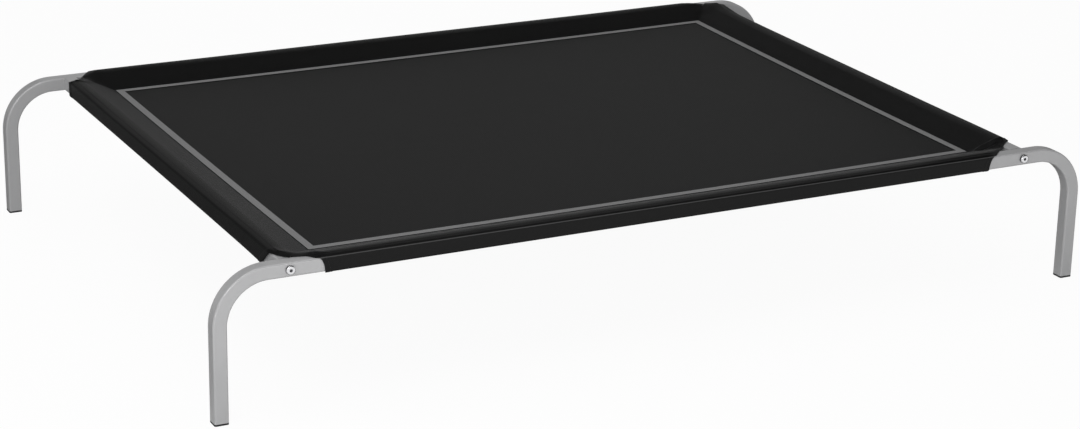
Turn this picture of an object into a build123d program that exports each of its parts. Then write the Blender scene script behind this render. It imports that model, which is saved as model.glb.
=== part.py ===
from build123d import *
import os

# Raised pet bed: a bolted frame of square steel tube that carries a stretched fabric cover.
# Millimetres. +X runs along the bed, +Y across it to the back, +Z up.
# The origin is on the floor, midway between the four feet.

# Frame
BED_LENGTH = 1300.0         # between the outer faces of the left and right legs
BED_WIDTH = 895.0           # between the outer faces of the front and back legs
BED_HEIGHT = 200.0          # floor to the top of the rails
TUBE = 19.0                 # outer size of the square tube
TUBE_WALL = 1.2
TUBE_CORNER = 2.5           # outer corner radius of the tube
LEAST_CORNER = 0.2          # smallest radius inside a tube's corner
BEND_RADIUS = 55.0          # inside radius of the leg's bend
LEG_RUN = 260.0             # from the leg's outer face to its joint with the long rail
SHORT_RAIL_INSET = 92.0     # from the leg's outer face to the short rail's outer face

# Joints
SLIP_CLEARANCE = 0.2        # each side, between a tube and what slides into it
JOINER_LENGTH = 110.0
JOINER_WALL = 1.5
JOINER_CORNER = 1.2
INSERT_LENGTH = 26.0
INSERT_CORNER = 1.2
SCREW_DIAMETER = 6.0
SCREW_LENGTH = 40.0         # under the head
SCREW_HEAD_DIAMETER = 12.0
SCREW_HEAD_HEIGHT = 3.6
SCREW_HEAD_ROUNDING = 1.6
SCREW_SOCKET = 4.0          # across the flats
SCREW_SOCKET_DEPTH = 2.2
THREAD_CLEARANCE = 0.05     # radial, between the screw and its insert
HOLE_CLEARANCE = 0.4        # radial, between the screw and the leg

# Foot caps
CAP_FLANGE = 2.5
CAP_PLUG = 16.0
CAP_WALL = 1.6
CAP_CORNER = 1.2

# Cover
FABRIC = 0.9                # thickness of one ply
FABRIC_CLEARANCE = 0.3      # between a sleeve and the tube inside it
DECK_DROP = 13.0            # from the top of the rails down to the top of the deck
LONG_SLEEVE_WIDTH = 67.0    # from the long rail's outer face to the deck
SHORT_SLEEVE_WIDTH = 62.0   # from the short rail's outer face to the deck
SEAM_TIP = 3.0              # width of the solid hem where a sleeve's plies meet
CUT_LONG_REACH = 30.0       # the sleeve's cut end, past the short rail along the long rail
CUT_SHORT_REACH = 24.0      # the sleeve's cut end, past the long rail along the short rail
CUT_LEAN = 14.0             # how much further in the cut stands at the rail's underside
BAND_WIDTH = 12.0
BAND_THICKNESS = 0.8

# Places worked out from the sizes above
LEG_X = BED_LENGTH / 2
LEG_Y = BED_WIDTH / 2
RAIL_BOTTOM = BED_HEIGHT - TUBE
RAIL_MIDDLE = BED_HEIGHT - TUBE / 2
TUBE_BORE = TUBE - 2 * TUBE_WALL
PLUG_SIZE = TUBE_BORE - 2 * SLIP_CLEARANCE
SHORT_RAIL_X = LEG_X - SHORT_RAIL_INSET
DECK_X = SHORT_RAIL_X - SHORT_SLEEVE_WIDTH
DECK_Y = LEG_Y - LONG_SLEEVE_WIDTH
DECK_TOP = BED_HEIGHT - DECK_DROP

SIDES = {"left": -1, "right": 1}
ENDS = {"front": -1, "back": 1}


def square(size, corner):
    return RectangleRounded(size, size, corner)


def tube_section(size, wall, corner):
    return square(size, corner) - square(size - 2 * wall, max(corner - wall, LEAST_CORNER))


def to_corner(part, side, end):
    """Mirrors a part made for the back right corner to another corner."""
    if side < 0:
        part = mirror(part, about=Plane.YZ)
    if end < 0:
        part = mirror(part, about=Plane.XZ)
    return part


def leg():
    """Foot, quarter bend and level run in one length of tube."""
    centre = LEG_X - TUBE / 2
    bend = BEND_RADIUS + TUBE / 2
    foot = Vector(centre, LEG_Y - TUBE / 2, CAP_FLANGE)
    corner = Vector(centre, LEG_Y - TUBE / 2, RAIL_MIDDLE)
    joint = Vector(LEG_X - LEG_RUN, LEG_Y - TUBE / 2, RAIL_MIDDLE)
    path = FilletPolyline(foot, corner, joint, radius=bend)
    section = Plane(foot, z_dir=(0, 0, 1)) * tube_section(TUBE, TUBE_WALL, TUBE_CORNER)
    hole = Cylinder(SCREW_DIAMETER / 2 + HOLE_CLEARANCE, 2 * TUBE, rotation=(90, 0, 0))
    return sweep(section, path) - Pos(*screw_axis()) * hole


def screw_axis():
    """Middle of the leg's run where the short rail's screw passes through it."""
    return (SHORT_RAIL_X - TUBE / 2, LEG_Y - TUBE / 2, RAIL_MIDDLE)


def along_x(section, start, end, y, z):
    return extrude(Plane((start, y, z), x_dir=(0, 1, 0), z_dir=(1, 0, 0)) * section, end - start)


def along_y(section, start, end, x, z):
    return extrude(Plane((x, start, z), x_dir=(1, 0, 0), z_dir=(0, 1, 0)) * section, end - start)


def long_rail():
    half = LEG_X - LEG_RUN
    section = tube_section(TUBE, TUBE_WALL, TUBE_CORNER)
    return along_x(section, -half, half, LEG_Y - TUBE / 2, RAIL_MIDDLE)


def short_rail():
    half = LEG_Y - TUBE
    section = tube_section(TUBE, TUBE_WALL, TUBE_CORNER)
    return along_y(section, -half, half, SHORT_RAIL_X - TUBE / 2, RAIL_MIDDLE)


def joiner():
    """Inner tube that bridges the leg's run and the long rail."""
    joint = LEG_X - LEG_RUN
    section = tube_section(PLUG_SIZE, JOINER_WALL, JOINER_CORNER)
    start = joint - JOINER_LENGTH / 2
    return along_x(section, start, start + JOINER_LENGTH, LEG_Y - TUBE / 2, RAIL_MIDDLE)


def insert():
    """Threaded plug in the end of the short rail."""
    section = square(PLUG_SIZE, INSERT_CORNER) - Circle(SCREW_DIAMETER / 2)
    end = LEG_Y - TUBE
    return along_y(section, end - INSERT_LENGTH, end, SHORT_RAIL_X - TUBE / 2, RAIL_MIDDLE)


def screw():
    """Pan-head screw that clamps the leg's run to the short rail."""
    head = extrude(Circle(SCREW_HEAD_DIAMETER / 2), SCREW_HEAD_HEIGHT)
    rounding = min(SCREW_HEAD_ROUNDING, SCREW_HEAD_HEIGHT - SCREW_SOCKET_DEPTH / 2)
    head = fillet(head.edges().sort_by(Axis.Z)[-1], rounding)
    socket = RegularPolygon(SCREW_SOCKET / 2, 6, major_radius=False)
    head -= Pos(0, 0, SCREW_HEAD_HEIGHT - SCREW_SOCKET_DEPTH) * extrude(socket, SCREW_SOCKET_DEPTH)
    shank = extrude(Circle(SCREW_DIAMETER / 2 - THREAD_CLEARANCE), -SCREW_LENGTH)
    x, _, z = screw_axis()
    return Plane((x, LEG_Y, z), x_dir=(1, 0, 0), z_dir=(0, 1, 0)) * (head + shank)


def foot_cap():
    """Plastic cap: a flange on the floor and a hollow plug up inside the leg."""
    flange = extrude(square(TUBE, TUBE_CORNER), CAP_FLANGE)
    plug = extrude(tube_section(PLUG_SIZE, CAP_WALL, CAP_CORNER), CAP_PLUG)
    return Pos(LEG_X - TUBE / 2, LEG_Y - TUBE / 2, 0) * (flange + Pos(0, 0, CAP_FLANGE) * plug)


def pocket_outline(width, skin, tip, tip_height):
    """Cross-section of a sleeve at one skin: wrapped round the tube and drawn in to the hem.

    The first axis runs inwards from the rail's outer face and the second runs up from the floor.
    """
    low = RAIL_BOTTOM - skin
    high = BED_HEIGHT + skin
    hem = DECK_TOP - FABRIC / 2
    outline = Polyline(
        (-skin, low),
        (-skin, high),
        (TUBE + skin, high),
        (width - tip, hem + tip_height / 2),
        (width - tip, hem - tip_height / 2),
        (TUBE + skin, low),
        close=True,
    )
    face = make_face(outline)
    bends = [v for v in face.vertices() if v.X < (TUBE + width) / 2]
    return fillet(bends, TUBE_CORNER + skin)


def sleeve_section(width):
    outer = pocket_outline(width, FABRIC_CLEARANCE + FABRIC, 0, 2 * FABRIC)
    inner = pocket_outline(width, FABRIC_CLEARANCE, SEAM_TIP, FABRIC / 2)
    return outer - inner


def corner_cut():
    """Everything outside the slanting plane on which the cover is cut at the back right corner."""
    on_long = Vector(SHORT_RAIL_X - TUBE - CUT_LONG_REACH, LEG_Y, BED_HEIGHT)
    on_short = Vector(SHORT_RAIL_X, LEG_Y - TUBE - CUT_SHORT_REACH, BED_HEIGHT)
    below = on_long - Vector(CUT_LEAN, 0, TUBE)
    outward = (on_short - on_long).cross(below - on_long).normalized()
    if outward.X < 0:
        outward = -outward
    reach = SHORT_RAIL_INSET + LONG_SLEEVE_WIDTH + SHORT_SLEEVE_WIDTH
    block = Box(2 * reach, 2 * reach, reach, align=(Align.CENTER, Align.CENTER, Align.MIN))
    return Plane(on_long, z_dir=outward) * block


def mitred_plan(reach, tube_corner, deck_corner):
    """Plan of a sleeve along +X whose ends are mitred, as a tall solid for trimming."""
    slope = (tube_corner[0] - deck_corner[0]) / (tube_corner[1] - deck_corner[1])
    inner = deck_corner[0]
    outer = inner + slope * (reach - deck_corner[1])
    plan = Polyline(
        (-inner, deck_corner[1]),
        (inner, deck_corner[1]),
        (outer, reach),
        (-outer, reach),
        close=True,
    )
    return extrude(make_face(plan), BED_HEIGHT + TUBE)


def trim_sleeve(sleeve):
    for side in SIDES.values():
        for end in ENDS.values():
            sleeve -= to_corner(corner_cut(), side, end)
    return sleeve


def long_sleeve():
    """Sleeve round the back rail and its joints with the two back legs."""
    plane = Plane((-LEG_X, LEG_Y, 0), x_dir=(0, -1, 0), z_dir=(-1, 0, 0))
    pocket = extrude(plane * sleeve_section(LONG_SLEEVE_WIDTH), -BED_LENGTH)
    tube_corner = (SHORT_RAIL_X - TUBE, LEG_Y - TUBE)
    plan = mitred_plan(LEG_Y + TUBE, tube_corner, (DECK_X, DECK_Y))
    return trim_sleeve(pocket & plan)


def short_sleeve():
    """Sleeve round the right rail."""
    plane = Plane((SHORT_RAIL_X, -LEG_Y, 0), x_dir=(-1, 0, 0), z_dir=(0, 1, 0))
    pocket = extrude(plane * sleeve_section(SHORT_SLEEVE_WIDTH), BED_WIDTH)
    tube_corner = (LEG_Y - TUBE, SHORT_RAIL_X - TUBE)
    plan = mitred_plan(SHORT_RAIL_X + TUBE, tube_corner, (DECK_Y, DECK_X))
    return trim_sleeve(pocket & (Rot(0, 0, -90) * plan))


def deck_panel():
    slab = Box(2 * DECK_X, 2 * DECK_Y, FABRIC, align=(Align.CENTER, Align.CENTER, Align.MAX))
    return Pos(0, 0, DECK_TOP) * slab


def seam_band():
    """Narrow tape sewn round the edge of the deck."""
    ring = Rectangle(2 * DECK_X, 2 * DECK_Y)
    ring -= Rectangle(2 * (DECK_X - BAND_WIDTH), 2 * (DECK_Y - BAND_WIDTH))
    return Pos(0, 0, DECK_TOP) * extrude(ring, BAND_THICKNESS)


def build():
    nodes = {}
    corner_parts = {
        "leg": leg(),
        "rail_joiner": joiner(),
        "rail_insert": insert(),
        "frame_screw": screw(),
        "foot_cap": foot_cap(),
    }
    for name, part in corner_parts.items():
        for end_name, end in ENDS.items():
            for side_name, side in SIDES.items():
                nodes[f"{name}_{end_name}_{side_name}"] = to_corner(part, side, end)
    for end_name, end in ENDS.items():
        nodes[f"long_rail_{end_name}"] = to_corner(long_rail(), 1, end)
        nodes[f"cover_sleeve_{end_name}"] = to_corner(long_sleeve(), 1, end)
    for side_name, side in SIDES.items():
        nodes[f"short_rail_{side_name}"] = to_corner(short_rail(), side, 1)
        nodes[f"cover_sleeve_{side_name}"] = to_corner(short_sleeve(), side, 1)
    nodes["cover_deck"] = deck_panel()
    nodes["cover_seam_band"] = seam_band()
    return nodes


os.makedirs("parts", exist_ok=True)
for node, solid in build().items():
    export_step(solid, f"parts/{node}.step")
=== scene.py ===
"""Dresses the dog bed: powder-coated tube frame, fasteners, woven cover, seam tape and a plain studio."""
import math

import bpy
from mathutils import Matrix, Vector, noise


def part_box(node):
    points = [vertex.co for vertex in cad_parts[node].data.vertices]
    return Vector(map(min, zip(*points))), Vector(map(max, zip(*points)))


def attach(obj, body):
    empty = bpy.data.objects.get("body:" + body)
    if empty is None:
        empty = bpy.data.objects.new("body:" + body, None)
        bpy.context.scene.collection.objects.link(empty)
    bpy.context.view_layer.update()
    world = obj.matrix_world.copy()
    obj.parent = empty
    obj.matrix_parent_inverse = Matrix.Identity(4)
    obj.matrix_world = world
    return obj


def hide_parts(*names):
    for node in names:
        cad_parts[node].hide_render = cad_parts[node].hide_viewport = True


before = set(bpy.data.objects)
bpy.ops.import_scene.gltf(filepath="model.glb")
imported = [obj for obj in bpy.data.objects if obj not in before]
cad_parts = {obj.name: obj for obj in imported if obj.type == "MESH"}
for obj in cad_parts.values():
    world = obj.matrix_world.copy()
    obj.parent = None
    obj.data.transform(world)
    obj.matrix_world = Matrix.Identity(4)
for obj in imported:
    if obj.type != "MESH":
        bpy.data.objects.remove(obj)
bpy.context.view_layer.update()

bl_info = {
    "name": "Dog Bed Dresser",
    "version": (1, 0, 0),
    "blender": (4, 5, 0),
    "location": "3D View > Sidebar > Dog Bed",
    "description": "Finishes and cloth for a raised dog bed on a tube frame",
    "category": "Object",
}

BODY = "root"
MM = 0.001
SIDES = {"left": -1, "right": 1}
ENDS = {"front": -1, "back": 1}
SLEEVES = (*ENDS, *SIDES)

# Sizes of the frame, taken from its nodes at the back right corner
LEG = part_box("leg_back_right")
LONG_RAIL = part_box("long_rail_back")
SHORT_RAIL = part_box("short_rail_right")
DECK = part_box("cover_deck")
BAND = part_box("cover_seam_band")
SCREW_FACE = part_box("frame_screw_back_right")[1].y
LEG_X = LEG[1].x
LONG_Y = LONG_RAIL[1].y
SHORT_X = SHORT_RAIL[1].x
RAIL_TOP = LONG_RAIL[1].z
RAIL_LOW = LONG_RAIL[0].z
TUBE = RAIL_TOP - RAIL_LOW
INSET = LEG_X - SHORT_X

DECK_LONG = LEG_X - DECK[1].x
DECK_SHORT = LONG_Y - DECK[1].y

# Heights and seams of the cover
HEM = DECK[1].z - 0.45 * MM
PLY_GAP = 1.1 * MM
SEAM_SAG = 1.3 * MM
DECK_SAG = 2.5 * MM
THREAD = 0.55 * MM
HEM_PITCH = 4.0 * MM
HEM_STITCH = 0.75 * HEM_PITCH
# How far the hems' stitches are from where the turned hem ends
HEM_ROW = 2.2 * MM

# The tape: its rows of stitches, and how its middle line lies over the band
TAPE_SEAM = 1.6 * MM
TAPE_PITCH = 4.2 * MM
TAPE_STITCH = 0.78 * TAPE_PITCH
TAPE_LIFT = 0.3 * MM
TAPE_CROWN = 0.3 * MM
TAPE_PRESS = 0.12 * MM
STITCH_LIFT = 0.3 * MM

# The cloth round a rail: how far its middle line is from the tube's faces, how far in it leaves the
# tube's top, and the radius at the tube's lower edge
SKIN = 0.75 * MM
SLOPE_START = 1.5 * MM
LOWER_BEND = 3.2 * MM
# The grid's steps round a rail: slope, crown, outer edge, face, lower bend, underside and lower ply
SECTION_STEPS = (34, 18, 10, 8, 5, 6, 14)
# The grid's steps along a rail: fine over the first stretch, then wider and wider
FINE_STEP = 1.1 * MM
FINE_STRETCH = 40 * MM
STEP_GROWTH = 1.13
WIDEST_STEP = 22 * MM
# About what a corner's cut takes off a sleeve's half length
CUT_ALLOWANCE = 100 * MM

# How sharply two slopes meet at a mitre, and how high the facet in front of it rises from the seam
MITRE_SOFTNESS = 8
FACET_RISE = 0.85 * (RAIL_TOP - HEM)
# Height at which the cut down a sleeve's face meets the cut over its top
FACE_TOP = RAIL_TOP + 1.5 * MM
# Height below which a sleeve's stitches face down
FACE_FOOT = RAIL_LOW + 2 * MM
# How far past the seam a cut edge has all of its hem
HEM_FADE = 7 * MM
# How near to its end a sleeve is shaped by its corner's cut
CORNER_STRETCH = 120 * MM
# How much sooner the cloth lifts off the short rail than off the long one
SHORT_RAIL_LIFT = 2.2
# How high the cloth rests on a tube at its cut edge, and how far from the edge it has lifted off
EDGE_REST = 0.6 * MM
LIFT_OFF = 13 * MM
# Share by which the cloth is drawn down to its tube away from the corners
DRAWN_DOWN = 0.35
PUFF_SPREAD = 6 * MM
FLARE_STRETCH = 75 * MM
# The slight waves of the slopes
WAVE_LENGTH = 70 * MM
WAVE_HEIGHT = 0.5 * MM
# How much further back the sleeves are cut under their tubes, for each mm inwards
UNDERCUT = 0.9

FRONT_LEFT, FRONT_RIGHT = ("front", "left"), ("front", "right")
BACK_LEFT, BACK_RIGHT = ("back", "left"), ("back", "right")
# Where each corner of the cover is cut, in mm from the leg's outer faces: the cut's line over the
# tubes, from the long rail to the short one, then where it ends under the long rail and the short one
CORNER_CUTS = {
    FRONT_LEFT: (((137, 0), (133.5, 5), (129, 11), (124, 15), (105, 16), (99, 25.5), (94.5, 31.5), (92, 42)),
                 148, 75),
    FRONT_RIGHT: (((149, 0), (121.5, 26), (92, 52)), 161, 64),
    BACK_LEFT: (((136, 0), (129, 9), (120, 22), (109, 39), (102, 42), (92, 45)), 148, 46),
    BACK_RIGHT: (((134, 0), (119, 8), (107, 20), (97, 32), (92, 40)), 147, 52),
}
# Share of a cut's line over which each of its corners is rounded off, to either side
CUT_SOFTNESS = 0.05
# Width in mm of the turned hem at each corner's cut, on the long sleeve and on the short one
HEM_WIDTHS = {FRONT_LEFT: (9, 12), FRONT_RIGHT: (8, 8), BACK_LEFT: (9, 9), BACK_RIGHT: (9, 9)}
# How much cloth is left loose over each corner's tubes, in mm
CORNER_PUFFS = {FRONT_LEFT: 1.0, FRONT_RIGHT: 0.2, BACK_LEFT: 1.1, BACK_RIGHT: 0.2}
# Small folds at the corners, in mm from the leg's outer faces: start, end, height and spread
CORNER_FOLDS = {
    FRONT_RIGHT: (((84, 55), (146, 60), 2.8, 2.6), ((94, 48), (142, 53), -1.4, 3.2)),
    BACK_RIGHT: (((60, 42), (142, 42), 0.8, 14.0),),
}
# How far the sleeves hang below their tubes at each corner, in mm: the long sleeve and the short one
DROOPS = {FRONT_LEFT: (0.2, 4.4), FRONT_RIGHT: (0.2, 1.2), BACK_LEFT: (1.0, 1.6), BACK_RIGHT: (1.0, 1.2)}
# How far the cut ends stand off their tubes, in mm: the long sleeve and the short one
FLARES = {BACK_RIGHT: (0.0, 6.0), FRONT_LEFT: (0.0, 1.0)}
# How far each corner of the seam is pulled outwards, in mm along the long rail and the short one
SEAM_PULLS = {FRONT_LEFT: (2, 1.5), FRONT_RIGHT: (4.5, 1), BACK_LEFT: (0, -1.5), BACK_RIGHT: (10, 5.5)}

# The weaves as drawn: twice the distance between the threads in mm, and the strength of the sheen
SLEEVE_WEAVE = (2.4, 0.13)
DECK_WEAVE = (4.0, 0.08)
TAPE_WEAVE = (2.0, 0.1)

# Angles above which an edge stays sharp to the eye: on cloth and on thread
CLOTH_EDGE = math.radians(50)
THREAD_EDGE = math.radians(80)

# The studio's lamps: place, what it points at and size in metres, and power in watts
LAMPS = {
    "key_softbox": ((-1.6, -2.2, 0.9), (-0.3, -0.3, 0.1), (0.8, 0.5), 13.5),
    "low_softbox": ((-0.2, -2.7, 0.35), (0.0, -0.3, 0.15), (1.6, 0.4), 8.0),
    "top_softbox": ((0.0, 0.0, 2.8), (0.0, 0.0, 0.0), (2.6, 2.0), 12.0),
    "high_softbox": ((-1.4, -1.2, 2.4), (-0.2, -0.1, 0.1), (1.4, 1.0), 17.0),
    "left_softbox": ((-2.6, -0.4, 1.0), (-0.5, 0.0, 0.1), (1.2, 0.8), 3.4),
    "back_softbox": ((1.0, 2.6, 1.1), (0.0, 0.0, 0.1), (2.8, 0.9), 1.9),
}
# The floor's width in metres, how much of its white is glow, and the strength of the sky's soft fill
FLOOR_SIZE = 80.0
FLOOR_GLOW = 0.95
SKY_FILL = 0.38
# The camera: its place in metres, its turn to the right, down and over in radians, and its frame in mm
CAMERA_PLACE = (-1.69896, -3.35513, 1.34728)
CAMERA_TURN = (0.4739971, 0.3337651, 0.0189684)
CAMERA_FRAME = 36.0


# Small tools

def linear(hex_colour):
    """An sRGB hex string as the linear colour that the shaders want."""
    parts = [int(hex_colour[i:i + 2], 16) / 255 for i in (1, 3, 5)]
    return [c / 12.92 if c <= 0.04045 else ((c + 0.055) / 1.055) ** 2.4 for c in parts] + [1.0]


def node(tree, kind, inputs=None, **settings):
    """Adds a shader node with its settings; an input is given a value, or a link from (node, output)."""
    made = tree.nodes.new("ShaderNode" + kind)
    for key, value in settings.items():
        if hasattr(made, key):
            setattr(made, key, value)
        else:
            made.inputs[key.replace("_", " ")].default_value = value
    for socket, feed in (inputs or {}).items():
        if isinstance(feed, tuple) and isinstance(feed[0], bpy.types.Node):
            tree.links.new(feed[0].outputs[feed[1]], made.inputs[socket])
        else:
            made.inputs[socket].default_value = feed
    return made


def speckle(tree, size, detail):
    """Noise in a thing's own space, in clumps of a given size."""
    place = node(tree, "TexCoord")
    return node(tree, "TexNoise", {"Vector": (place, "Object")}, Scale=1 / size, Detail=detail)


def ray_is(tree, *kinds):
    """A link that is 1 for rays of these kinds and 0 for all others."""
    path = node(tree, "LightPath")
    link = path, f"Is {kinds[0]} Ray"
    for kind in kinds[1:]:
        link = node(tree, "Math", {0: link, 1: (path, f"Is {kind} Ray")}, operation="MAXIMUM"), 0
    return link


def new_material(name):
    material = bpy.data.materials.new(name)
    material.use_nodes = True
    material.node_tree.nodes.clear()
    return material, material.node_tree


def finished(material, shader, output="BSDF"):
    """The material, with its shader linked to its output."""
    node(material.node_tree, "OutputMaterial", {"Surface": (shader, output)})
    return material


def select_only(*things):
    for thing in list(bpy.context.selected_objects):
        thing.select_set(False)
    for thing in things:
        thing.select_set(True)
    if things:
        bpy.context.view_layer.objects.active = things[0]


def take_active(name):
    thing = bpy.context.active_object
    thing.name = name
    thing.data.name = name
    return thing


def apply_modifier(thing, kind, **settings):
    modifier = thing.modifiers.new(kind.title(), kind)
    for key, value in settings.items():
        setattr(modifier, key, value)
    select_only(thing)
    bpy.ops.object.modifier_apply(modifier=modifier.name)


def smooth(thing, angle):
    select_only(thing)
    bpy.ops.object.shade_smooth_by_angle(angle=angle)


def dress(thing, material, replaced=()):
    """Gives a new piece its finish and ties it to the frame."""
    thing.data.materials.clear()
    thing.data.materials.append(material)
    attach(thing, BODY)
    if replaced:
        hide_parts(*replaced)


def coat_nodes(material, *prefixes):
    """Puts a finish on every frame node whose name starts so."""
    for name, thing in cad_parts.items():
        if name.startswith(prefixes):
            for slot in thing.material_slots:
                slot.material = material


# Materials

def powder_coat(finish):
    """Silver-grey polyester powder coat, sprayed and baked on.

    To the eye: a satin grey with soft clouds in it, under a clear skin whose faint orange peel blurs
    the highlights along the tube's corners.
    """
    material, tree = new_material("silver_powder_coat")
    peel = speckle(tree, finish.peel_size, 2.0)
    cloud = speckle(tree, finish.cloud_size, 3.0)
    colour = node(tree, "Mix", {"Factor": (cloud, "Fac")},
                  data_type="RGBA", A=finish.coat_dark, B=finish.coat_light)
    bump = node(tree, "Bump", {"Height": (peel, "Fac")}, Strength=0.05, Distance=0.1 * MM)
    shader = node(tree, "BsdfPrincipled",
                  {"Base Color": (colour, "Result"), "Normal": (bump, "Normal")},
                  Roughness=0.36, Metallic=0.1, Coat_Weight=0.5, Coat_Roughness=0.08)
    return finished(material, shader)


def bright_zinc(finish):
    """Bright zinc plate on steel screws.

    To the eye: near-white metal, unevenly polished. Painted shade turns it dark grey in the socket
    and under the head, where no light reaches.
    """
    material, tree = new_material("bright_zinc_plate")
    rough = node(tree, "MapRange", {"Value": (speckle(tree, 0.8 * MM, 3.0), "Fac")},
                 To_Min=0.18, To_Max=0.36)
    axes = node(tree, "SeparateXYZ", {"Vector": (node(tree, "TexCoord"), "Object")})
    outwards = node(tree, "Math", {0: (axes, "Y")}, operation="ABSOLUTE")
    # Painted shade: the socket's floor and the foot of the head take the dark grey
    deep = node(tree, "MapRange", {"Value": (outwards, 0)},
                From_Min=SCREW_FACE - 1.9 * MM, From_Max=SCREW_FACE - 1.5 * MM)
    colour = node(tree, "Mix", {"Factor": (deep, "Result")},
                  data_type="RGBA", A=finish.zinc_painted_shade, B=finish.zinc)
    shader = node(tree, "BsdfPrincipled",
                  {"Base Color": (colour, "Result"), "Roughness": (rough, "Result")}, Metallic=1.0)
    return finished(material, shader)


def drawn_steel(finish):
    """Bare drawn steel of the hidden joiners and threaded inserts.

    To the eye: grey metal, streaked where the die has polished it unevenly.
    """
    material, tree = new_material("bare_drawn_steel")
    place = node(tree, "TexCoord")
    stretch = node(tree, "Mapping", {"Vector": (place, "Object")}, Scale=(8.0, 400.0, 400.0))
    marks = node(tree, "TexNoise", {"Vector": (stretch, "Vector")}, Scale=3.0, Detail=4.0)
    rough = node(tree, "MapRange", {"Value": (marks, "Fac")}, To_Min=0.3, To_Max=0.55)
    shader = node(tree, "BsdfPrincipled", {"Roughness": (rough, "Result")},
                  Base_Color=finish.steel, Metallic=1.0)
    return finished(material, shader)


def moulded_cap(finish):
    """Injection-moulded black polyethylene of the foot caps.

    To the eye: black and slightly waxy. Its spark-eroded grain is drawn coarser than the real one,
    0.7 mm for about 0.1 mm, which would be too fine to show.
    """
    material, tree = new_material("moulded_polyethylene")
    grain = speckle(tree, 0.7 * MM, 2.0)
    bump = node(tree, "Bump", {"Height": (grain, "Fac")}, Strength=0.2, Distance=0.1 * MM)
    shader = node(tree, "BsdfPrincipled", {"Normal": (bump, "Normal")},
                  Base_Color=finish.cap, Roughness=0.55)
    return finished(material, shader)


def tone_across(tree, axes, colour, middle, start, full, tone, ramp="LINEAR"):
    """Lays a tone over a cloth's colour: none at start and all of it at full, measured from a line."""
    offset = node(tree, "Math", {0: (axes, "Y"), 1: middle}, operation="SUBTRACT")
    aside = node(tree, "Math", {0: (offset, 0)}, operation="ABSOLUTE")
    share = node(tree, "MapRange", {"Value": (aside, 0)}, interpolation_type=ramp,
                 From_Min=start, From_Max=full)
    return node(tree, "Mix", {"Factor": (share, "Result"), "A": (colour, "Result")},
                data_type="RGBA", B=tone)


def woven_cloth(name, cloth, weave, light, dark, painted_edge_shadow=None, painted_edge_light=False):
    """Plain-woven polyester: the sleeves' coated oxford, the deck's mesh and the seam tape.

    To the eye: matt cloth, dark between its threads, with a soft sheen at grazing angles. The weave
    is drawn coarser than the real one, whose threads are about 0.5 mm apart and too fine to show.
    A painted shadow darkens both edges of a tape, for the shade beside its raised edges. A cloth with
    painted edge light has a painted highlight line along the tube's outer edge, with painted shade above it.
    """
    material, tree = new_material(name)
    warp, sheen = weave
    place = node(tree, "UVMap", uv_map="UVMap")
    axes = node(tree, "SeparateXYZ", {"Vector": (place, "UV")})
    waves = []
    for axis in ("X", "Y"):
        turn = node(tree, "Math", {0: (axes, axis), 1: 2 * math.pi / (warp * MM)},
                    operation="MULTIPLY")
        waves.append(node(tree, "Math", {0: (turn, 0)}, operation="SINE"))
    crossing = node(tree, "Math", {0: (waves[0], 0), 1: (waves[1], 0)}, operation="MULTIPLY")
    height = node(tree, "MapRange", {"Value": (crossing, 0)}, From_Min=-1.0)
    colour = node(tree, "Mix", {"Factor": (height, "Result")}, data_type="RGBA", A=dark, B=light)
    # The tape's dark edges are a painted shadow: a dark tone for the shade beside its raised edges
    if painted_edge_shadow is not None:
        half = cloth.tape_width / 2
        colour = tone_across(tree, axes, colour, half, half - 1.1 * MM, half - 0.6 * MM, painted_edge_shadow)
    if painted_edge_light:
        # Painted light at the tube's outer edge: a grey painted highlight line, with painted shade as a dark
        # line above it
        for middle, spread, tone in ((-2.6, 3.6, cloth.crease_shade), (1.4, 0.9, cloth.crease_painted_highlight)):
            colour = tone_across(tree, axes, colour, middle * MM, spread * MM, 0.3 * spread * MM, tone,
                                 ramp="SMOOTHSTEP")
    bump = node(tree, "Bump", {"Height": (height, "Result")}, Strength=0.5, Distance=0.3 * MM)
    shader = node(tree, "BsdfPrincipled",
                  {"Base Color": (colour, "Result"), "Normal": (bump, "Normal"),
                   "Specular IOR Level": cloth.gloss},
                  Roughness=0.5, Sheen_Weight=sheen, Sheen_Roughness=cloth.sheen_roughness)
    return finished(material, shader)


def sewing_thread(name, colour):
    """Spun polyester sewing thread, black in the hems and grey on the tape.

    To the eye: soft and matt, with the thread's twist as a fine unevenness.
    """
    material, tree = new_material(name)
    twist = speckle(tree, 0.5 * MM, 2.0)
    bump = node(tree, "Bump", {"Height": (twist, "Fac")}, Strength=0.4, Distance=0.1 * MM)
    shader = node(tree, "BsdfPrincipled", {"Normal": (bump, "Normal")},
                  Base_Color=colour, Roughness=0.7, Sheen_Weight=0.1)
    return finished(material, shader)


# Shapes of the cover

def arc(centre, radius, start, end, steps):
    """Points of an arc in a sleeve's section; 0 degrees is up and 90 degrees is inwards."""
    turns = [math.radians(start + (end - start) * i / steps) for i in range(steps + 1)]
    return [(centre[0] + radius * math.sin(a), centre[1] + radius * math.cos(a)) for a in turns]


def straight(start, end, steps):
    return [(start[0] + (end[0] - start[0]) * i / steps, start[1] + (end[1] - start[1]) * i / steps)
            for i in range(1, steps)]


def ease(value, start, end):
    """0 before start, 1 after end and smooth between them."""
    share = min(max((value - start) / (end - start), 0.0), 1.0)
    return share * share * (3 - 2 * share)


def bump_at(distance, middle, spread):
    """A soft ridge across a line: 1 at its middle, falling off over its spread."""
    return math.exp(-((distance - middle) / spread) ** 2)


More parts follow.
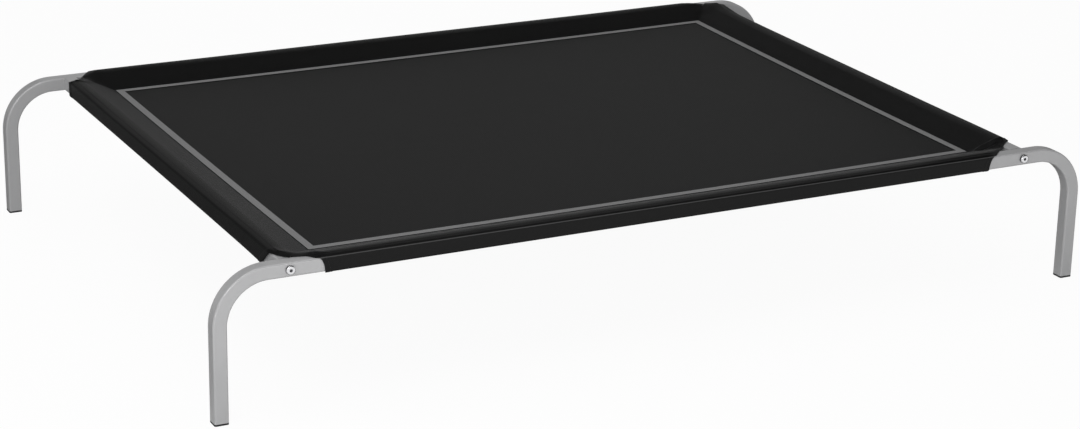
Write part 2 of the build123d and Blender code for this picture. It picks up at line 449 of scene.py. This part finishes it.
def along_cut(line, value, known):
    """Follows a cut's line, with its two ends taken as 0 and 1, from one coordinate to the other."""
    first, last = line[0][0] - line[-1][0], line[-1][1]
    spots = [((a - line[-1][0]) / first, b / last) for a, b in line]
    spots.sort(key=lambda spot: spot[known])
    found = []
    for moved in (value - CUT_SOFTNESS, value, value + CUT_SOFTNESS):
        moved = min(max(moved, 0.0), 1.0)
        for before, after in zip(spots, spots[1:]):
            if moved <= after[known]:
                share = (moved - before[known]) / (after[known] - before[known])
                found.append(before[1 - known] + share * (after[1 - known] - before[1 - known]))
                break
    return sum(found) / len(found)


def from_cut(corner, plan):
    """Distance in plan from the line of a corner's cut."""
    line, least = CORNER_CUTS[corner][0], 1.0
    for start, end in zip(line, line[1:]):
        start, run = Vector(start) * MM, (Vector(end) - Vector(start)) * MM
        share = min(max((plan - start).dot(run) / run.length_squared, 0.0), 1.0)
        least = min(least, (plan - start - share * run).length)
    return least


def pulled(point, slack=1.0):
    """Where the seam's uneven pull takes a point; slack is 1 at the seam and falls to 0 at the rails."""
    u, v = (min(max(point[i] / DECK[1][i], -1.0), 1.0) for i in (0, 1))
    moved = Vector((0, 0, -SEAM_SAG * (1 - u * u * v * v)))
    for (end, side), pull in SEAM_PULLS.items():
        near = (1 + ENDS[end] * v) * (1 + SIDES[side] * u) / 4
        moved += Vector((SIDES[side] * pull[0], ENDS[end] * pull[1], 0)) * near * MM
    return Vector(point) + slack * moved


def pull_all(thing):
    for vertex in thing.data.vertices:
        vertex.co = pulled(vertex.co)


def sleeve_section(width, cloth):
    """The cloth's middle line round a rail, from the upper hem to the lower hem.

    Each point is the distance inwards from the rail's outer face and the height. The upper ply
    rises from the deck, is crowned over the tube, and turns down its outer face.
    """
    slope_steps, crown_steps, edge_steps, face_steps, bend_steps, under_steps, ply_steps = SECTION_STEPS
    touch = TUBE + SLOPE_START
    slope = math.atan2(RAIL_TOP + SKIN - HEM, width - touch)
    crown = cloth.crown_radius
    centre = (touch - crown * math.sin(slope), RAIL_TOP + SKIN - crown * math.cos(slope))
    lean = cloth.crown_lean
    top = (centre[0] - crown * math.sin(lean), centre[1] + crown * math.cos(lean))
    round_out = (top[0] + SKIN) / (1 - math.sin(lean))
    corner = (top[0] + round_out * math.sin(lean), top[1] - round_out * math.cos(lean))
    low = RAIL_LOW - SKIN
    upper = arc(centre, crown, math.degrees(slope), -math.degrees(lean), crown_steps)
    points = [(width, HEM)]
    points += straight(points[0], upper[0], slope_steps) + upper
    points += arc(corner, round_out, -math.degrees(lean), -90, edge_steps)[1:]
    points += straight(points[-1], (-SKIN, low + LOWER_BEND), face_steps)
    points += arc((LOWER_BEND - SKIN, low + LOWER_BEND), LOWER_BEND, -90, -180, bend_steps)
    inner = (TUBE - LOWER_BEND / 2, low)
    points += straight(points[-1], inner, under_steps) + [inner]
    points += straight(inner, (width, HEM - PLY_GAP), ply_steps) + [(width, HEM - PLY_GAP)]
    return points


def length_steps(length):
    """Distances from a sleeve's end to its middle: close together at the end, wide in the middle."""
    steps, gap = [0.0], FINE_STEP
    while steps[-1] + gap < length:
        steps.append(steps[-1] + gap)
        if steps[-1] > FINE_STRETCH:
            gap = min(gap * STEP_GROWTH, WIDEST_STEP)
    return [distance / length for distance in steps[:-1]] + [1.0]


class Sleeve:
    """One sleeve's shape: its section round the rail, and how it is cut back and sewn at both corners."""

    def __init__(self, key, cloth):
        self.key = key
        self.long_side = key in ENDS
        # Where this sleeve's value stands in a corner's pair of values
        self.which = 0 if self.long_side else 1
        self.sign = ENDS[key] if self.long_side else SIDES[key]
        self.outer, self.leg_face = (LONG_Y, LEG_X) if self.long_side else (SHORT_X, LONG_Y)
        self.other_outer = SHORT_X if self.long_side else LONG_Y
        # How far the rails at the ends stand in from the legs' faces, and how far in the seam's corner is
        self.end_inset, self.seam_corner = (INSET, DECK_LONG) if self.long_side else (0.0, DECK_SHORT)
        widths = (DECK_SHORT, DECK_LONG - INSET)
        self.width, self.other_width = widths if self.long_side else reversed(widths)
        self.section = sleeve_section(self.width, cloth)
        self.other_section = sleeve_section(self.other_width, cloth)
        self.highest = max(range(len(self.section)), key=lambda i: self.section[i][1])
        self.girth = [0.0]
        for before, after in zip(self.section, self.section[1:]):
            self.girth.append(self.girth[-1] + math.dist(before, after))
        outer_corner = min(range(len(self.section)), key=lambda i: self.section[i][0] - self.section[i][1])
        self.crease = self.girth[outer_corner]
        self.normals = []
        for i in range(len(self.section)):
            before, after = self.section[max(i - 1, 0)], self.section[min(i + 1, len(self.section) - 1)]
            run = math.dist(before, after)
            self.normals.append(((before[1] - after[1]) / -run, (before[0] - after[0]) / run))

    def corner(self, end):
        if self.long_side:
            return self.key, "right" if end > 0 else "left"
        return "back" if end > 0 else "front", self.key

    def hem_width(self, end):
        return HEM_WIDTHS[self.corner(end)][self.which] * MM

    def length(self):
        """Length of the cloth at the rail's outer face, from cut to cut, as if both were the longer one."""
        lines = [CORNER_CUTS[self.corner(end)][0] for end in (-1, 1)]
        nearest = min(line[0][0] if self.long_side else line[-1][1] for line in lines)
        return 2 * (self.leg_face - nearest * MM)

    def outwards(self):
        """The direction that the sleeve's face looks in."""
        return Vector((0, self.sign, 0) if self.long_side else (self.sign, 0, 0))

    def at_row(self, row):
        """The section at a row: distance inwards, height, both parts of its outward normal, and girth."""
        low = min(int(row), len(self.section) - 2)
        part = row - low
        before, after = ((*self.section[i], *self.normals[i], self.girth[i]) for i in (low, low + 1))
        return [a * (1 - part) + b * part for a, b in zip(before, after)]

    def in_plan(self, along, inwards):
        """A place's distances in from the leg's outer faces."""
        cross = self.outer - inwards
        if self.long_side:
            return Vector((LEG_X - abs(along), LONG_Y - cross))
        return Vector((LEG_X - cross, LONG_Y - abs(along)))

    def end_reach(self, end, inwards, height, upper):
        """How far the leg's outer face is from the sleeve's end, and how much of a cut edge that end is."""
        line, long_low, short_low = CORNER_CUTS[self.corner(end)]
        share = 1.0 if upper else min(max((height - RAIL_LOW) / (FACE_TOP - RAIL_LOW), 0.0), 1.0)
        inwards = max(inwards, 0.0)
        under = UNDERCUT * (1 - share) * min(inwards, TUBE)
        if not upper and self.long_side:
            share = 1 - math.sqrt(1 - share * share)
        on_long = (long_low + (line[0][0] - long_low) * share) * MM + under
        on_short = (short_low + (line[-1][1] - short_low) * share) * MM + under
        cut, run, other_run = 0.0, on_long - INSET, on_short
        if not self.long_side:
            run, other_run = other_run, run
        if inwards <= other_run:
            cut = self.end_inset + run * along_cut(line, inwards / other_run, 1 - self.which)
        share = (self.width - inwards) / (self.width - TUBE)
        seam = self.seam_corner - share * (self.other_width - TUBE)
        return max(cut, seam), ease(cut - seam, 0.0, HEM_FADE)

    def droop(self, along):
        """How far the sleeve hangs below its tube here."""
        share = 0.5 + 0.5 * along / self.leg_face
        low, high = (DROOPS[self.corner(end)][self.which] * MM for end in (-1, 1))
        least = min(low, high)
        return least + (low - least) * (1 - share) ** 3 + (high - least) * share ** 3

    def corner_blend(self, corner, plan, height, along):
        """What the mitre of two slopes, and the flat facet before it, add to the height here."""
        apart = self.other_outer - abs(along)
        slope = self.other_section[:self.highest + 1]
        other = slope[0][1]
        for before, after in zip(slope, slope[1:]):
            other = before[1]
            if after[0] <= apart:
                share = (before[0] - apart) / max(before[0] - after[0], 1e-9)
                other = before[1] + share * (after[1] - before[1])
                break
        own, other = max(height - HEM, 1e-6), max(other - HEM, 0.0)
        blended = sum(part ** MITRE_SOFTNESS for part in (own, other, facet_height(corner, plan)))
        return blended ** (1 / MITRE_SOFTNESS) - own

    def slope_relief(self, corner, plan, inwards, along, near):
        """What the corner's folds and loose cloth and the slope's slight waves add to its height."""
        from_seam = self.width - inwards
        fold = fold_lift(corner, plan)
        if fold < 0:
            # A hollow stays clear of the tube
            fold *= ease(inwards, TUBE, TUBE + 8 * MM)
        puff = CORNER_PUFFS[corner] * MM * bump_at(near, LIFT_OFF, PUFF_SPREAD)
        cross = self.sign * (self.outer - inwards)
        wave = noise.noise(Vector((along, cross, 0.3 * self.outer)) / WAVE_LENGTH)
        return fold * ease(from_seam, 0.0, 6 * MM) + puff * ease(inwards, 2 * MM, 10 * MM) \
            + (0.5 + 0.5 * wave) * WAVE_HEIGHT * ease(from_seam, 0.0, 15 * MM)

    def place(self, row, end, along_share=None, from_end=None, lift=0.0):
        """A point of the cloth and its place in the flat: row round the section, and from which end.

        The point is a share of the way from the end to the sleeve's middle, or a distance from the end.
        """
        inwards, height, across, up, girth = self.at_row(row)
        upper = row <= self.highest
        corner = self.corner(end)
        reach, hemmed = self.end_reach(end, inwards, height, upper)
        length = self.leg_face - reach
        if from_end is None:
            from_end = length * along_share
        along = end * (length - from_end)
        plan = self.in_plan(along, inwards)
        near = from_cut(corner, plan) if from_end < CORNER_STRETCH else 1.0
        over_short_rail = 1 - ease(plan[0], INSET + 2 * MM, INSET + TUBE + 3 * MM)
        near *= 1 + (SHORT_RAIL_LIFT - 1) * over_short_rail

        raised = hemmed * hem_relief(self.hem_width(end), from_end) + lift
        inner, top = inwards + across * raised, height + up * raised
        if upper:
            top += self.corner_blend(corner, plan, height, along)
            top += self.slope_relief(corner, plan, inwards, along, near)
        top = rest_on(top, RAIL_TOP + EDGE_REST, near, from_end)
        loose = 1 - ease(inwards, TUBE / 2, TUBE + 12 * MM)
        flare = FLARES.get(corner, (0.0, 0.0))[self.which] * MM
        flare *= loose * (1 - ease(from_end, 0.0, FLARE_STRETCH))
        inner -= flare
        top += 0.3 * flare
        if not upper:
            hanging = min(max((RAIL_TOP - height) / TUBE, 0.0), 1.0) * (1 - ease(inwards, TUBE, self.width))
            top -= self.droop(along) * hanging

        cross = self.sign * (self.outer - inner)
        slack = max(inwards - TUBE, 0.0) / (self.width - TUBE)
        spot = pulled((along, cross, top) if self.long_side else (cross, along, top), slack)
        return spot, (along, girth - self.crease)


def rest_on(height, tube, near, from_end):
    """Lays the cloth down on its tube at a cut edge, and draws it down a little away from the corners."""
    if height <= tube:
        return height
    drawn = DRAWN_DOWN * ease(from_end, 50 * MM, 200 * MM)
    return tube + (height - tube) * ease(near, -2 * MM, LIFT_OFF) * (1 - drawn)


def hem_relief(width, from_end):
    """Height of the turned hem at a cut edge, with the line where its stitches pull it down."""
    fold = 0.5 * MM * (1 - ease(from_end, width - 0.6 * MM, width + 1.2 * MM))
    edge = 0.35 * MM * (1 - ease(from_end, 0.0, 1.2 * MM))
    return fold - edge - 0.35 * MM * bump_at(from_end, width - HEM_ROW, 0.9 * MM)


def facet_height(corner, plan):
    """Height above the seam of the flat facet between the seam's corner and the ends of the cut."""
    line = CORNER_CUTS[corner][0]
    start, end = Vector(line[0]) * MM, Vector(line[-1]) * MM
    outwards = Vector((start.y - end.y, end.x - start.x)).normalized()
    whole = (Vector((DECK_LONG, DECK_SHORT)) - start).dot(-outwards)
    gone = (plan - start).dot(-outwards)
    return FACET_RISE * min(max(1 - gone / whole, 0.0), 1.0)


def fold_lift(corner, plan):
    """Height of the small folds that the corner's cut leaves in the cloth, at a place in plan."""
    total = 0.0
    for start, end, height, spread in CORNER_FOLDS.get(corner, ()):
        run = (end[0] - start[0], end[1] - start[1])
        long = math.hypot(*run)
        gone = (plan[0] / MM - start[0], plan[1] / MM - start[1])
        share = (gone[0] * run[0] + gone[1] * run[1]) / long ** 2
        aside = (gone[0] * run[1] - gone[1] * run[0]) / long
        fade = ease(share, -0.12, 0.12) * (1 - ease(share, 0.8, 1.1))
        total += height * MM * bump_at(aside, 0.0, spread) * fade
    return total


def hem_stitches(sleeve, cloth):
    """Stitches along both cut edges of a sleeve, from the corner's seam over the top and down the face."""
    stitches = []
    last = sleeve.girth[-SECTION_STEPS[-1] - 2]
    lift = cloth.ply / 2
    for end in (-1, 1):
        hem = sleeve.hem_width(end)
        gone = 0.0
        while gone < last:
            low = max(i for i, girth in enumerate(sleeve.girth) if girth <= gone)
            row = low + (gone - sleeve.girth[low]) / (sleeve.girth[low + 1] - sleeve.girth[low])
            inwards, height = sleeve.section[low]
            hemmed = sleeve.end_reach(end, inwards, height, row <= sleeve.highest)[1]
            gone += HEM_PITCH
            if hemmed < 0.95:
                continue
            first, second = (sleeve.place(row + step, end, from_end=hem - HEM_ROW, lift=lift)[0]
                             for step in (-0.4, 0.4))
            middle = (first + second) / 2
            side = sleeve.place(row, end, from_end=hem, lift=lift)[0] - middle
            along = (second - first).normalized()
            away = along.cross(side).normalized()
            outside = Vector((0, 0, 1)) + sleeve.outwards() if height > FACE_FOOT else Vector((0, 0, -1))
            if away.dot(outside) < 0:
                away = -away
            turn = Matrix((along, away.cross(along), away)).transposed().to_4x4()
            stitches.append(make_stitch(HEM_STITCH))
            stitches[-1].data.transform(Matrix.Translation(middle) @ turn)
    return stitches


def map_grid(thing, columns, rows, place):
    """Moves each vertex of a grid to place(column, row), which also gives the cloth's flat position."""
    mesh = thing.data
    flat = [None] * len(mesh.vertices)
    for vertex in mesh.vertices:
        column = round((vertex.co.x + 0.5) * columns)
        row = round((vertex.co.y + 0.5) * rows)
        vertex.co, flat[vertex.index] = place(column, row)
    layer = mesh.uv_layers["UVMap"].data
    for loop in mesh.loops:
        layer[loop.index].uv = flat[loop.vertex_index]
    mesh.update()


def add_grid(name, columns, rows):
    select_only()
    bpy.ops.mesh.primitive_grid_add(x_subdivisions=columns, y_subdivisions=rows, size=1.0)
    return take_active(name)


def edit_all(thing, *steps):
    """Runs edit-mode steps on the whole of a mesh."""
    select_only(thing)
    bpy.ops.object.mode_set(mode="EDIT")
    bpy.ops.mesh.select_all(action="SELECT")
    for step in steps:
        step()
    bpy.ops.object.mode_set(mode="OBJECT")


def face_away(thing, direction):
    """Turns an open cloth over if its outermost face, seen along a direction, looks inwards."""
    outermost = max(thing.data.polygons, key=lambda face: face.center.dot(direction))
    if outermost.normal.dot(direction) < 0:
        edit_all(thing, bpy.ops.mesh.flip_normals)


def make_sleeve(sleeve, cloth):
    """One sleeve of the cover, wrapped round its rail and cut back at both corners."""
    half = length_steps(sleeve.leg_face - CUT_ALLOWANCE)
    columns, rows = 2 * (len(half) - 1), len(sleeve.section) - 1
    thing = add_grid(f"sleeve_{sleeve.key}", columns, rows)

    def place(column, row):
        end = -1 if column <= columns // 2 else 1
        share = half[column if end < 0 else columns - column]
        return sleeve.place(row, end, along_share=share)

    map_grid(thing, columns, rows, place)
    face_away(thing, sleeve.outwards())
    apply_modifier(thing, "SOLIDIFY", thickness=cloth.ply, offset=0.0)
    smooth(thing, CLOTH_EDGE)
    return thing


def tape_height(across, width):
    """Height of the tape's middle line: crowned between its stitches, pressed down under them."""
    crown = TAPE_CROWN * math.sin(math.pi * across / width) ** 0.5
    press = TAPE_PRESS * sum(bump_at(across, row, 0.6 * MM) for row in (TAPE_SEAM, width - TAPE_SEAM))
    return BAND[0].z + TAPE_LIFT + crown - press


def tape_strip(key, cloth):
    """One side of the tape, mitred at both ends and a little crowned between its two rows of stitches."""
    long_side = key in ENDS
    sign = ENDS[key] if long_side else SIDES[key]
    outer, half = (BAND[1].y, BAND[1].x) if long_side else (BAND[1].x, BAND[1].y)
    width = cloth.tape_width
    columns, rows = 60, 20
    thing = add_grid(f"tape_{key}", columns, rows)

    def place(column, row):
        across = width * row / rows
        along = (2 * column / columns - 1) * (half - across)
        point = Vector((along, sign * (outer - across), tape_height(across, width)))
        if not long_side:
            point.x, point.y = point.y, point.x
        return point, (along, across)

    map_grid(thing, columns, rows, place)
    face_away(thing, Vector((0, 0, 1)))
    return thing


def join_pieces(name, parts):
    select_only(*parts)
    bpy.ops.object.join()
    return take_active(name)


def make_stitch(length):
    """A single stitch along X: a spindle of thread whose two ends dive into the cloth."""
    select_only()
    bpy.ops.mesh.primitive_uv_sphere_add(segments=6, ring_count=5, radius=0.5)
    stitch = take_active("stitch")
    origin = (0, 0, 0)
    edit_all(stitch,
             lambda: bpy.ops.transform.rotate(value=math.pi / 2, orient_axis="Y", center_override=origin),
             lambda: bpy.ops.transform.resize(value=(length, THREAD, THREAD), center_override=origin))
    for vertex in stitch.data.vertices:
        vertex.co.z -= THREAD * (2 * vertex.co.x / length) ** 4
    smooth(stitch, THREAD_EDGE)
    return stitch


def stitch_row(start, end):
    """A row of the tape's stitches from start to end, made as one stitch in an array."""
    start, end = Vector(start), Vector(end)
    run = end - start
    count = int(run.length / TAPE_PITCH)
    row = make_stitch(TAPE_STITCH)
    apply_modifier(row, "ARRAY", count=count, use_relative_offset=False, use_constant_offset=True,
                   constant_offset_displace=(TAPE_PITCH, 0, 0))
    turn = run.to_track_quat("X", "Z").to_matrix().to_4x4()
    spare = run.length - TAPE_PITCH * (count - 1)
    row.data.transform(Matrix.Translation(start + run.normalized() * spare / 2) @ turn)
    return row


# Settings that a user would change

def colour_setting(name, description, hex_colour):
    return bpy.props.FloatVectorProperty(name=name, description=description, subtype="COLOR", size=4,
                                         min=0.0, max=1.0, default=linear(hex_colour))


def length_setting(name, description, value):
    """A length in metres, given here in mm."""
    return bpy.props.FloatProperty(name=name, description=description, subtype="DISTANCE", unit="LENGTH",
                                   precision=5, min=0.0, default=value * MM)


def share_setting(name, description, value):
    return bpy.props.FloatProperty(name=name, description=description, subtype="FACTOR",
                                   min=0.0, max=1.0, default=value)


class FrameFinish(bpy.types.PropertyGroup):
    coat_light: colour_setting("Coat light", "Powder coat, in its lighter clouds", "#B4B4B5")
    coat_dark: colour_setting("Coat dark", "Powder coat, in its darker clouds", "#A9A9AA")
    zinc: colour_setting("Zinc", "Plated heads of the screws", "#E4E4E6")
    # Painted shade in the screws' sockets and under their heads
    zinc_painted_shade: colour_setting("Zinc shade", "Plating in the sockets and under the heads", "#444446")
    steel: colour_setting("Steel", "Joiners and inserts", "#A9AAAC")
    cap: colour_setting("Caps", "Foot caps", "#1B1B1C")
    peel_size: length_setting("Orange peel", "Width of the coat's ripples", 2.5)
    cloud_size: length_setting("Clouds", "Width of the coat's colour clouds", 60.0)


class CoverCloth(bpy.types.PropertyGroup):
    ply: length_setting("Ply", "Thickness of the cloth", 0.9)
    crown_radius: length_setting("Crown", "Radius of the cloth over a rail", 39.0)
    crown_lean: bpy.props.FloatProperty(name="Crown lean", description="How far the crown turns outwards",
                                        subtype="ANGLE", unit="ROTATION", default=math.radians(9.0))
    sheen_roughness: share_setting("Sheen roughness", "Spread of the sheen", 0.23)
    gloss: share_setting("Gloss", "Specular level of the cloth", 0.2)
    tape_width: length_setting("Tape width", "Width of the seam tape", 12.0)
    tape_ply: length_setting("Tape ply", "Thickness of the seam tape", 0.5)
    sleeve_light: colour_setting("Sleeve light", "Sleeve cloth, on top of its threads", "#0D0D0D")
    sleeve_dark: colour_setting("Sleeve dark", "Sleeve cloth, between its threads", "#080808")
    deck_light: colour_setting("Deck light", "Deck cloth, on top of its threads", "#181818")
    deck_dark: colour_setting("Deck dark", "Deck cloth, between its threads", "#070707")
    tape_light: colour_setting("Tape light", "Seam tape, on top of its threads", "#8E8E8E")
    tape_dark: colour_setting("Tape dark", "Seam tape, between its threads", "#707070")
    # Painted shadow along both edges of the seam tape, for the shade beside its raised edges
    painted_edge_shadow: colour_setting("Selvedge", "Dark edges of the seam tape", "#141414")
    # Painted highlight along the tube's outer edge of the long sleeves, with painted shade above it
    crease_painted_highlight: colour_setting("Rubbed crease", "Cloth worn grey along its pressed crease", "#444444")
    crease_shade: colour_setting("Crease shade", "Cloth in shade above its pressed crease", "#020202")
    black_thread: colour_setting("Black thread", "Thread of the hems", "#1A1A1A")
    grey_thread: colour_setting("Grey thread", "Thread of the tape", "#8C8C90")


class PlainStudio(bpy.types.PropertyGroup):
    lens: bpy.props.FloatProperty(name="Lens", description="Focal length for a frame 36 mm wide",
                                  unit="CAMERA", min=1.0, default=90.668)


class DOGBED_OT_frame(bpy.types.Operator):
    """Coat the tubes and finish the fasteners and caps"""
    bl_idname = "dogbed.finish_frame"
    bl_label = "Finish the frame"

    def execute(self, context):
        finish = context.scene.dogbed_finish
        coat_nodes(powder_coat(finish), "leg_", "long_rail_", "short_rail_")
        coat_nodes(bright_zinc(finish), "frame_screw_")
        coat_nodes(moulded_cap(finish), "foot_cap_")
        coat_nodes(drawn_steel(finish), "rail_joiner_", "rail_insert_")
        return {"FINISHED"}


class DOGBED_OT_sleeves(bpy.types.Operator):
    """Sew the four sleeves round the rails"""
    bl_idname = "dogbed.sew_sleeves"
    bl_label = "Sew the sleeves"

    def execute(self, context):
        cloth = context.scene.dogbed_cloth
        tones = (cloth.sleeve_light, cloth.sleeve_dark)
        # The long sleeves carry the painted highlight and painted shade along their outer edge
        painted_edge_light = woven_cloth("creased_black_oxford_cloth", cloth, SLEEVE_WEAVE, *tones, painted_edge_light=True)
        plain = woven_cloth("black_oxford_cloth", cloth, SLEEVE_WEAVE, *tones)
        stitches = []
        for key in SLEEVES:
            sleeve = Sleeve(key, cloth)
            piece = make_sleeve(sleeve, cloth)
            dress(piece, painted_edge_light if sleeve.long_side else plain, [f"cover_sleeve_{key}"])
            stitches += hem_stitches(sleeve, cloth)
        thread = join_pieces("hem_stitches", stitches)
        dress(thread, sewing_thread("black_polyester_thread", cloth.black_thread))
        return {"FINISHED"}


class DOGBED_OT_deck(bpy.types.Operator):
    """Stretch the deck between the sleeves"""
    bl_idname = "dogbed.stretch_deck"
    bl_label = "Stretch the deck"

    def execute(self, context):
        cloth = context.scene.dogbed_cloth
        columns, rows = 130, 100
        thing = add_grid("deck_cloth", columns, rows)
        half_x, half_y = DECK[1].x, DECK[1].y
        middle = (DECK[0].z + DECK[1].z) / 2

        def place(column, row):
            u, v = 2 * column / columns - 1, 2 * row / rows - 1
            sag = DECK_SAG * (1 - u * u) * (1 - v * v)
            return Vector((u * half_x, v * half_y, middle - sag)), (u * half_x, v * half_y)

        map_grid(thing, columns, rows, place)
        pull_all(thing)
        face_away(thing, Vector((0, 0, 1)))
        apply_modifier(thing, "SOLIDIFY", thickness=cloth.ply, offset=0.0)
        smooth(thing, CLOTH_EDGE)
        dress(thing, woven_cloth("black_mesh_cloth", cloth, DECK_WEAVE, cloth.deck_light, cloth.deck_dark),
              ["cover_deck"])
        return {"FINISHED"}


class DOGBED_OT_tape(bpy.types.Operator):
    """Sew the binding tape over the deck's seam"""
    bl_idname = "dogbed.sew_tape"
    bl_label = "Sew the seam tape"

    def execute(self, context):
        cloth = context.scene.dogbed_cloth
        width = cloth.tape_width
        tape = join_pieces("seam_tape_strip", [tape_strip(key, cloth) for key in SLEEVES])
        edit_all(tape, lambda: bpy.ops.mesh.remove_doubles(threshold=0.01 * MM))
        pull_all(tape)
        apply_modifier(tape, "SOLIDIFY", thickness=cloth.tape_ply, offset=0.0)
        smooth(tape, CLOTH_EDGE)
        webbing = woven_cloth("grey_woven_tape", cloth, TAPE_WEAVE, cloth.tape_light, cloth.tape_dark,
                              painted_edge_shadow=cloth.painted_edge_shadow)
        dress(tape, webbing, ["cover_seam_band"])
        rows = []
        for across in (TAPE_SEAM, width - TAPE_SEAM):
            height = tape_height(across, width) + STITCH_LIFT
            x, y = BAND[1].x - across, BAND[1].y - across
            for sign in (-1, 1):
                rows.append(stitch_row((-x, sign * y, height), (x, sign * y, height)))
                rows.append(stitch_row((sign * x, -y, height), (sign * x, y, height)))
        thread = join_pieces("tape_stitches", rows)
        pull_all(thread)
        dress(thread, sewing_thread("grey_polyester_thread", cloth.grey_thread))
        return {"FINISHED"}


class DOGBED_OT_studio(bpy.types.Operator):
    """Lay the floor, hang the lights and set the camera"""
    bl_idname = "dogbed.set_studio"
    bl_label = "Set the studio"

    def execute(self, context):
        studio = context.scene.dogbed_studio
        make_floor()
        make_world()
        for name, (place, target, size, power) in LAMPS.items():
            add_light(name, place, target, size, power)
        add_camera(studio)
        context.scene.view_settings.view_transform = "Standard"
        return {"FINISHED"}


def make_floor():
    """A wide white floor: white to the eye and to glass, and to gloss lit in front and dim behind."""
    select_only()
    bpy.ops.mesh.primitive_plane_add(size=FLOOR_SIZE)
    floor = take_active("studio_floor")
    material, tree = new_material("white_studio_floor")
    axes = node(tree, "SeparateXYZ", {"Vector": (node(tree, "TexCoord"), "Object")})
    front = node(tree, "MapRange", {"Value": (axes, "Y")}, interpolation_type="SMOOTHSTEP",
                 From_Min=-0.9, From_Max=-0.2, To_Min=1.0, To_Max=0.06)
    shine = node(tree, "Mix", {"Factor": ray_is(tree, "Glossy"), "B": (front, "Result")}, A=1.0)
    seen = ray_is(tree, "Camera", "Glossy", "Transmission")
    share = node(tree, "Math", {0: seen, 1: FLOOR_GLOW}, operation="MULTIPLY")
    paint = node(tree, "BsdfDiffuse", Color=linear("#F5F5F5"))
    glow = node(tree, "Emission", {"Strength": (shine, "Result")}, Color=(1.0, 1.0, 1.0, 1.0))
    mixed = node(tree, "MixShader", {0: (share, 0), 1: (paint, "BSDF"), 2: (glow, "Emission")})
    side = node(tree, "NewGeometry")
    clear = node(tree, "BsdfTransparent")
    shown = node(tree, "MixShader", {0: (side, "Backfacing"), 1: (mixed, 0), 2: (clear, "BSDF")})
    floor.data.materials.append(finished(material, shown, 0))


def make_world():
    """White to the eye, a dim band at the horizon to gloss, and a soft fill to the rest."""
    world = bpy.data.worlds.new("white_studio")
    bpy.context.scene.world = world
    world.use_nodes = True
    tree = world.node_tree
    tree.nodes.clear()
    axes = node(tree, "SeparateXYZ", {"Vector": (node(tree, "TexCoord"), "Generated")})
    band = node(tree, "MapRange", {"Value": (axes, "Z")}, interpolation_type="SMOOTHSTEP",
                From_Min=0.1, From_Max=0.65, To_Min=0.25, To_Max=0.0)
    mirrored = ray_is(tree, "Glossy", "Transmission")
    fill = node(tree, "Mix", {"Factor": mirrored, "B": (band, "Result")}, A=SKY_FILL)
    strength = node(tree, "Mix", {"Factor": ray_is(tree, "Camera"), "A": (fill, "Result")}, B=1.0)
    sky = node(tree, "Background", {"Strength": (strength, "Result")}, Color=(1.0, 1.0, 1.0, 1.0))
    node(tree, "OutputWorld", {"Surface": (sky, "Background")})


def add_light(name, place, target, size, power):
    """A soft rectangular lamp that the camera doesn't see."""
    select_only()
    bpy.ops.object.light_add(type="AREA", location=place)
    lamp = bpy.context.active_object
    lamp.name = name
    lamp.data.shape = "RECTANGLE"
    lamp.data.size, lamp.data.size_y = size
    lamp.data.energy = power
    lamp.visible_camera = False
    lamp.rotation_euler = (Vector(target) - Vector(place)).to_track_quat("-Z", "Y").to_euler()


def add_camera(studio):
    """A long lens in front and to the left, looking down on the bed."""
    select_only()
    bpy.ops.object.camera_add()
    camera = bpy.context.active_object
    camera.data.lens = studio.lens
    camera.data.sensor_width = CAMERA_FRAME
    yaw, pitch, roll = CAMERA_TURN
    ahead = Vector((math.sin(yaw) * math.cos(pitch), math.cos(yaw) * math.cos(pitch), -math.sin(pitch)))
    right = Vector((math.cos(yaw), -math.sin(yaw), 0.0))
    up = right.cross(ahead)
    across = math.cos(roll) * right + math.sin(roll) * up
    upright = math.cos(roll) * up - math.sin(roll) * right
    turn = Matrix((across, upright, -ahead)).transposed().to_4x4()
    camera.matrix_world = Matrix.Translation(CAMERA_PLACE) @ turn
    bpy.context.scene.camera = camera


class DOGBED_PT_sidebar(bpy.types.Panel):
    """Lists the steps that dress the bed"""
    bl_idname = "DOGBED_PT_sidebar"
    bl_label = "Dog Bed"
    bl_space_type = "VIEW_3D"
    bl_region_type = "UI"
    bl_category = "Dog Bed"

    def draw(self, context):
        for step in STEPS:
            self.layout.operator(step.bl_idname)


STEPS = (DOGBED_OT_frame, DOGBED_OT_sleeves, DOGBED_OT_deck, DOGBED_OT_tape, DOGBED_OT_studio)
GROUPS = {"dogbed_finish": FrameFinish, "dogbed_cloth": CoverCloth, "dogbed_studio": PlainStudio}


def register():
    for group in GROUPS.values():
        bpy.utils.register_class(group)
    for name, group in GROUPS.items():
        setattr(bpy.types.Scene, name, bpy.props.PointerProperty(type=group))
    for step in STEPS:
        bpy.utils.register_class(step)
    bpy.utils.register_class(DOGBED_PT_sidebar)


def unregister():
    bpy.utils.unregister_class(DOGBED_PT_sidebar)
    for step in reversed(STEPS):
        bpy.utils.unregister_class(step)
    for name in GROUPS:
        delattr(bpy.types.Scene, name)
    for group in GROUPS.values():
        bpy.utils.unregister_class(group)


def main():
    register()
    bpy.ops.dogbed.finish_frame()
    bpy.ops.dogbed.sew_sleeves()
    bpy.ops.dogbed.stretch_deck()
    bpy.ops.dogbed.sew_tape()
    bpy.ops.dogbed.set_studio()


if __name__ == "__main__":
    main()
